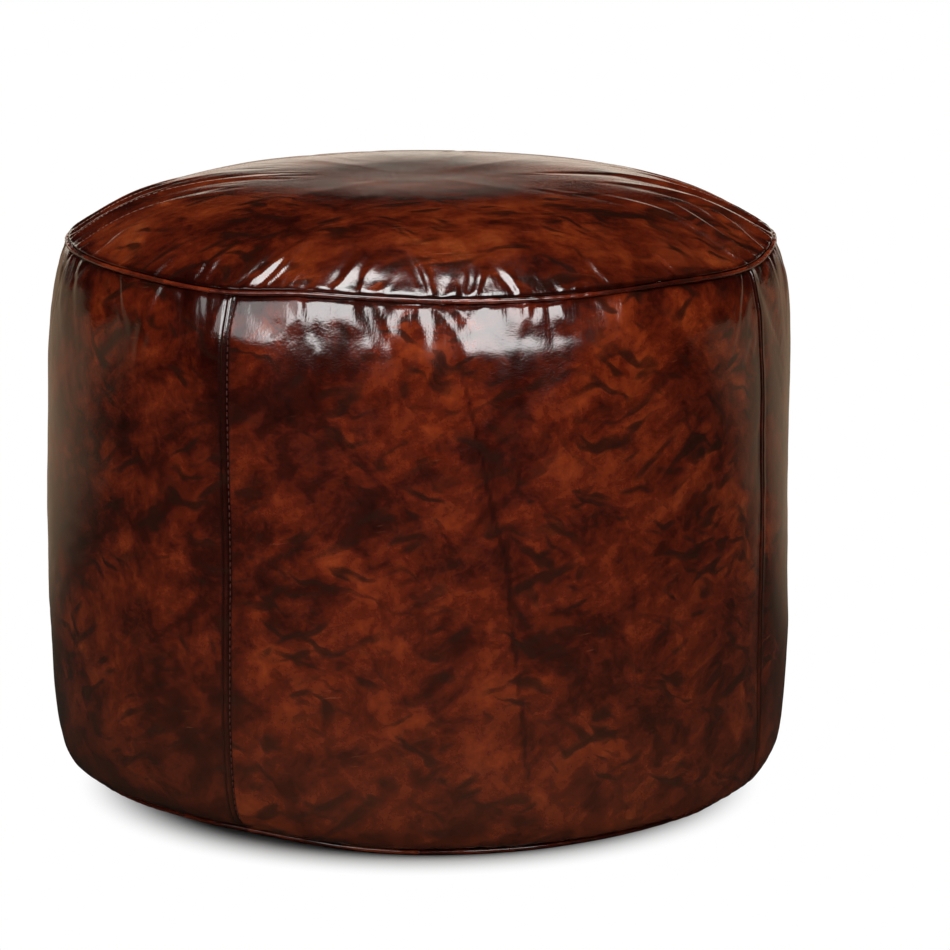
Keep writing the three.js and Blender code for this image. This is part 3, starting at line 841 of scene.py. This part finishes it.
class Finish:
    """A material, or the surround, whose nodes are added one call at a time."""

    def __init__(self, name, made_of=None):
        self.material = made_of or bpy.data.materials.new(name)
        self.material.use_nodes = True
        self.tree = self.material.node_tree
        self.shader = self.tree.nodes["Background" if made_of else "Principled BSDF"]

    def add(self, kind, settings=None, sockets=None, output=0):
        node = self.tree.nodes.new(kind)
        for name, value in (settings or {}).items():
            if name == "stops":
                self.set_stops(node.color_ramp, value)
            else:
                setattr(node, name, value)
        for name, value in (sockets or {}).items():
            self.join(node.inputs[name], value)
        return Value(self, node.outputs[output])

    def join(self, socket, value):
        if isinstance(value, Value):
            self.tree.links.new(value.socket, socket)
        else:
            socket.default_value = value

    @staticmethod
    def set_stops(ramp, stops):
        while len(ramp.elements) < len(stops):
            ramp.elements.new(1)
        for element, (place, colour) in zip(ramp.elements, stops):
            element.position = place
            element.color = (*colour, 1)

    def layer(self, name, output="Fac"):
        return self.add("ShaderNodeAttribute", {"attribute_name": name}, output=output)

    def stretched(self, vector, size, turn=0.0):
        """The vector in units of a size in millimetres, with its first axis turned by an angle."""
        sockets = {"Vector": vector, "Scale": [side * MM for side in size], "Rotation": (0, 0, turn)}
        return self.add("ShaderNodeMapping", {"vector_type": "TEXTURE"}, sockets)

    def noise(self, vector, scale, detail=2.0, roughness=0.5, distortion=0.0):
        sockets = {"Vector": vector, "Scale": scale, "Detail": detail}
        sockets.update({"Roughness": roughness, "Distortion": distortion})
        return self.add("ShaderNodeTexNoise", None, sockets)

    def cells(self, vector, scale):
        return self.add("ShaderNodeTexVoronoi", {"feature": "F1"}, {"Vector": vector, "Scale": scale})

    def ramp(self, value, stops):
        return self.add("ShaderNodeValToRGB", {"stops": stops}, {"Fac": value})

    def mix(self, share, first, second):
        """A blend of two colours."""
        sockets = {0: share, 6: first, 7: second}
        return self.add("ShaderNodeMix", {"data_type": "RGBA"}, sockets, output=2)

    def bump(self, height, distance, normal=None):
        sockets = {"Height": height, "Distance": distance, "Strength": 1.0}
        if normal:
            sockets["Normal"] = normal
        return self.add("ShaderNodeBump", None, sockets)

    def surface(self, **sockets):
        for name, value in sockets.items():
            self.join(self.shader.inputs[name.replace("_", " ").title().replace("Ior", "IOR")], value)
        return self.material


# The dyed hide's colours, from where the colour has gathered to where it is rubbed thin: (tone, colour). The
# dark end also gives the painted shade in seams, gaps and the fold.
DYE = [
    (0.25, (0.0060, 0.0006, 0.0003)),
    (0.38, (0.0150, 0.0016, 0.0007)),
    (0.50, (0.0410, 0.0045, 0.0013)),
    (0.62, (0.0790, 0.0108, 0.0024)),
    (0.78, (0.1300, 0.0260, 0.0062)),
]
SMUDGE = (0.0080, 0.0020, 0.0011, 1)
NEAR_BASE_TINT = (0.042, 0.0165, 0.0085, 1)
BARE_HIDE = (0.2, 0.06, 0.025, 1)


def glazed_leather(name, gloss=1.0):
    """Hand-burnished leather: clouded dyeing, dark rubbed strokes, fine scratches, grain, painted shade and a
    clear glaze.
    """
    leather = Finish(name)
    hide = leather.layer("hide", "Vector")
    warp = leather.noise(hide, 11, 3, 0.6)
    shifted = leather.add("ShaderNodeVectorMath", {"operation": "MULTIPLY_ADD"},
                          {0: warp, 1: (0.05, 0.05, 0), 2: hide})
    broad = leather.noise(shifted, 7, 2, 0.5)
    clouds = leather.noise(shifted, 19, 4, 0.58, 0.3)
    patches = leather.noise(shifted, 58, 4, 0.62, 0.3)
    strokes = leather.noise(leather.stretched(shifted, (80, 22, 50), 0.45), 1, 3, 0.6, 0.2)
    cross = leather.noise(leather.stretched(shifted, (60, 24, 50), 2.0), 1, 3, 0.6, 0.2)
    speckle = leather.noise(hide, 170, 4, 0.7)
    dust = leather.noise(hide, 620, 2, 0.6)
    tone = broad * 0.4 + clouds * 0.55 + patches * 0.34 + strokes * 0.34 + cross * 0.25 - 0.61
    # Adds each hide's own colour shift, and the painted shade along seams, welt edges and the hide's fold.
    tone = tone + speckle * 0.22 + dust * 0.08 + leather.layer("dye")
    colour = leather.ramp(tone, DYE)
    for size, turn, where in (((36, 10, 30), 0.4, 15), ((30, 9, 20), -0.45, 17)):
        rubbed = leather.noise(leather.stretched(shifted, size, turn), 1, 1, 0.4, 0.2).between(0.52, 0.68)
        smudged = rubbed * leather.noise(hide, where, 1).between(0.42, 0.58)
        colour = leather.mix(smudged * 0.85, colour, SMUDGE)
    # Paler and browner towards the base of the side panels.
    colour = leather.mix(leather.layer("faded") * 0.24, colour, NEAR_BASE_TINT)
    hairs = leather.noise(leather.stretched(hide, (26, 1.8, 30), 0.15), 1, 1).between(0.68, 0.74)
    scratched = hairs * leather.noise(hide, 26, 2).between(0.58, 0.7)
    colour = leather.mix(scratched * 0.2, colour, BARE_HIDE)
    grain = leather.cells(hide, 760) * 0.6 + leather.noise(hide, 420, 4, 0.6)
    wrinkles = leather.noise(shifted, 75, 3, 0.5, 0.4)
    gathers = leather.noise(leather.stretched(leather.layer("edge", "Vector"), (3.4, 30, 900)), 1, 2, 0.6)
    shape = leather.bump(wrinkles, 0.00004)
    shape = leather.bump(grain, 0.00007, shape)
    shape = leather.bump(gathers * leather.layer("gathered"), 0.00018, shape)
    dull = 0.22 * (1 - gloss)
    rough = leather.noise(hide, 36, 3, 0.6).between(0.35, 0.7, 0.11 + dull, 0.165 + dull) + scratched * 0.1
    return leather.surface(
        base_color=colour, roughness=rough, normal=shape,
        coat_weight=0.25 * gloss, coat_roughness=0.08, specular_ior_level=0.5,
    )


def cloth_finish(name, colour, threads):
    """Plain woven cloth."""
    cloth = Finish(name)
    place = cloth.add("ShaderNodeTexCoord", output="Object")
    weave = cloth.add("ShaderNodeTexChecker", None, {"Vector": place, "Scale": threads}, output=1)
    uneven = cloth.noise(place, 60, 4)
    tint = cloth.mix(uneven * 0.35 + weave * 0.1, (*colour, 1), (*[c * 0.6 for c in colour], 1))
    return cloth.surface(base_color=tint, roughness=0.9, normal=cloth.bump(weave + uneven, 0.0002))


def brass_finish():
    brass = Finish("antique_brass")
    place = brass.add("ShaderNodeTexCoord", output="Object")
    tarnish = brass.noise(place, 300, 4, 0.6)
    tint = brass.ramp(tarnish, [(0.35, (0.16, 0.09, 0.035)), (0.65, (0.46, 0.32, 0.14))])
    rough = tarnish.between(0.3, 0.7, 0.5, 0.28)
    normal = brass.bump(brass.noise(place, 900, 3), 0.00004)
    return brass.surface(base_color=tint, roughness=rough, metallic=1.0, normal=normal)


# ---------------------------------------------------------------- the pouf

leather = glazed_leather("glazed_leather")
welt_leather = glazed_leather("welt_leather", 0.75)
thread = cloth_finish("waxed_thread", (0.042, 0.0055, 0.0022), 2500)
cotton = cloth_finish("cotton_cord", (0.7, 0.62, 0.48), 1500)
calico = cloth_finish("calico", (0.72, 0.66, 0.54), 1200)
tape = cloth_finish("zip_tape", (0.03, 0.014, 0.01), 1800)
brass = brass_finish()

side_folds, top_folds = side_creases(), top_creases()

for number, seam in enumerate(SEAMS):
    last = SEAMS[(number + 1) % 4] + (360 if number == 3 else 0)
    name = PANELS[number]
    panel = side_panel(f"side_panel_{name}_leather", seam, last, leather, number, side_folds)
    belongs(panel, f"side_panel_{name}")

crown = top_panel(leather, top_folds)
belongs(crown, "top_panel")

EDGES = [
    ("top", TOP_SEAM, top_edge_rise, top_edge_pull, 51, -0.03),
    ("bottom", BASE_SEAM, base_edge_rise, base_edge_pull, 61, 0.06),
]
for edge, ring, rise, pull, seed, dye in EDGES:
    strip = welt(f"{edge}_welt_strip", ring, WELT_STRIP, welt_leather, rise, pull, seed, dye)
    belongs(strip, f"{edge}_welt")
    core = welt(f"{edge}_welt_core", ring, WELT_CORE, cotton, rise, pull, seed)
    belongs(core, f"{edge}_welt_cord")

for half, side in (("front", -1), ("back", 1)):
    made = base_panel(f"bottom_panel_{half}_leather", side, leather)
    belongs(made, f"bottom_panel_{half}")
    made = teeth(f"zipper_{half}_teeth", f"zipper_teeth_{half}", side, brass)
    belongs(made, f"zipper_teeth_{half}")

for seam, name in zip(SEAMS, SEAM_NAMES):
    made = stitches(f"side_seam_{name}_stitches", seam, thread, side_folds)
    belongs(made, f"side_seam_thread_{name}")

belongs(liner_top(calico, top_folds), "liner_top")
belongs(liner_side(calico, side_folds), "liner_side")
belongs(liner_bottom(calico), "liner_bottom")
wadding = stuffing(cotton, side_folds)
belongs(wadding, "stuffing")

FINISH_OF_SLOT = {
    "leather": leather, "welt_leather": welt_leather, "thread": thread, "cotton_cord": cotton,
    "zip_tape": tape, "brass": brass, "calico": calico, "stuffing": cotton,
}
for part in frame["record"]["subparts"]:
    node = frame["nodes"][part["node"]]
    node.data.materials.clear()
    node.data.materials.append(FINISH_OF_SLOT[part["material_slot"]])


# ---------------------------------------------------------------- camera, floor and light

def camera():
    seen = bpy.data.cameras.new("camera")
    seen.lens = 182.7
    seen.sensor_width = 36
    made = bpy.data.objects.new("camera", seen)
    made.location = (0, -3.575, 1.013)
    made.rotation_euler = (math.radians(90 - 12.4), 0, math.radians(-0.68))
    bpy.context.collection.objects.link(made)
    bpy.context.scene.camera = made


# The middle of the pouf's painted shadow on the floor, and the radii between which it fades.
SHADOW = (0, -0.035, 0)
SHADOW_EDGE = (0.2, 0.262)
WHITE = (1, 1, 1, 1)


def floor():
    """A floor that glows white, with a painted shadow where the pouf stands: there it is a dark grey floor,
    on which the lamps' own shadow falls too. What the pouf mirrors of it is dark in front and pale behind."""
    paint = Finish("pale_floor")
    seen = paint.add("ShaderNodeLightPath", output="Is Camera Ray")
    mirrored = paint.add("ShaderNodeLightPath", output="Is Glossy Ray")
    plain = paint.mix(seen, (0.3, 0.3, 0.3, 1), (0.16, 0.155, 0.15, 1))
    paint.surface(
        base_color=paint.mix(mirrored, plain, (0.012, 0.01, 0.008, 1)),
        roughness=1.0, specular_ior_level=0.0,
    )
    place = paint.add("ShaderNodeTexCoord", output="Object")
    apart = {0: place, 1: SHADOW}
    shadow = paint.add("ShaderNodeVectorMath", {"operation": "DISTANCE"}, apart, output="Value")
    depth = paint.add("ShaderNodeSeparateXYZ", None, {0: place}, output="Y")
    behind = mirrored * depth.between(0.2, 0.9) * 0.42
    tint = paint.mix(seen, (0.6, 0.42, 0.27, 1), WHITE)
    glow = paint.add("ShaderNodeEmission", None, {"Strength": 1.0, "Color": tint})
    lit = Value(paint, paint.shader.outputs[0])
    # Painted shadow: inside SHADOW_EDGE the camera sees a dark grey floor, lit and shadowed by the lamps;
    # outside it the floor glows white.
    share = shadow.between(*SHADOW_EDGE) * seen + behind
    both = paint.add("ShaderNodeMixShader", None, {0: share, 1: lit, 2: glow})
    paint.join(paint.tree.nodes["Material Output"].inputs["Surface"], both)
    bpy.ops.mesh.primitive_plane_add(size=40)
    made = bpy.context.object
    made.name = "floor"
    made.data.materials.append(paint.material)


# The height that the lamps are aimed at.
AIM = 0.3


def softbox(name, azimuth, elevation, distance, size, power, mirrored=True):
    """A rectangular studio lamp that faces the middle of the pouf, and shows in its gloss if mirrored."""
    light = bpy.data.lights.new(name, "AREA")
    light.shape = "RECTANGLE"
    light.size, light.size_y = size
    light.energy = power
    made = bpy.data.objects.new(name, light)
    turn, lift = math.radians(azimuth), math.radians(elevation)
    away_r = distance * math.cos(lift)
    height = AIM + distance * math.sin(lift)
    made.location = (away_r * math.sin(turn), -away_r * math.cos(turn), height)
    made.rotation_euler = (math.radians(90) - lift, 0, turn)
    made.visible_glossy = mirrored
    bpy.context.collection.objects.link(made)
    return made


def flagged_off(lamp, *pieces):
    """Keeps a lamp's light, and its mirror image, off some pieces."""
    shade = bpy.data.collections.new(f"{lamp.name}_flag")
    for made in pieces:
        shade.objects.link(made)
    for entry in shade.collection_objects:
        entry.light_linking.link_state = "EXCLUDE"
    lamp.light_linking.receiver_collection = shade


def surround():
    """White to look at. The pouf mirrors it as dark in front and above, and pale behind near the floor."""
    world = bpy.data.worlds.new("surround")
    bpy.context.scene.world = world
    sky = Finish("surround", world)
    way = sky.add("ShaderNodeTexCoord", output="Generated")
    ahead = sky.add("ShaderNodeSeparateXYZ", None, {0: way}, output="Y").between(0.75, 0.95)
    low = 1 - sky.add("ShaderNodeSeparateXYZ", None, {0: way}, output="Z").between(0.09, 0.15)
    seen = sky.add("ShaderNodeLightPath", output="Is Camera Ray")
    tint = sky.mix(seen, (1, 0.88, 0.74, 1), WHITE)
    sky.surface(color=tint, strength=ahead * low * 0.98 * (1 - seen) + 0.004 + seen)


camera()
floor()
surround()
softbox("far_left_softbox", -53, 23, 2.6, (0.9, 1.2), 10)
flagged_off(softbox("left_softbox", -27, 23, 2.6, (1.2, 1.2), 50), crown)
flagged_off(softbox("right_softbox", 27, 23, 2.6, (1.3, 1.2), 54), crown)
softbox("overhead_softbox", 0, 84, 2.2, (1.0, 1.45), 50)
softbox("front_fill", 0, 40, 2.6, (2, 1.4), 74, False)
softbox("back_left_fill", -140, 25, 2.6, (1.8, 1.6), 80, False)
softbox("back_right_fill", 140, 25, 2.6, (1.8, 1.6), 80, False)
bpy.context.scene.view_settings.view_transform = "Standard"
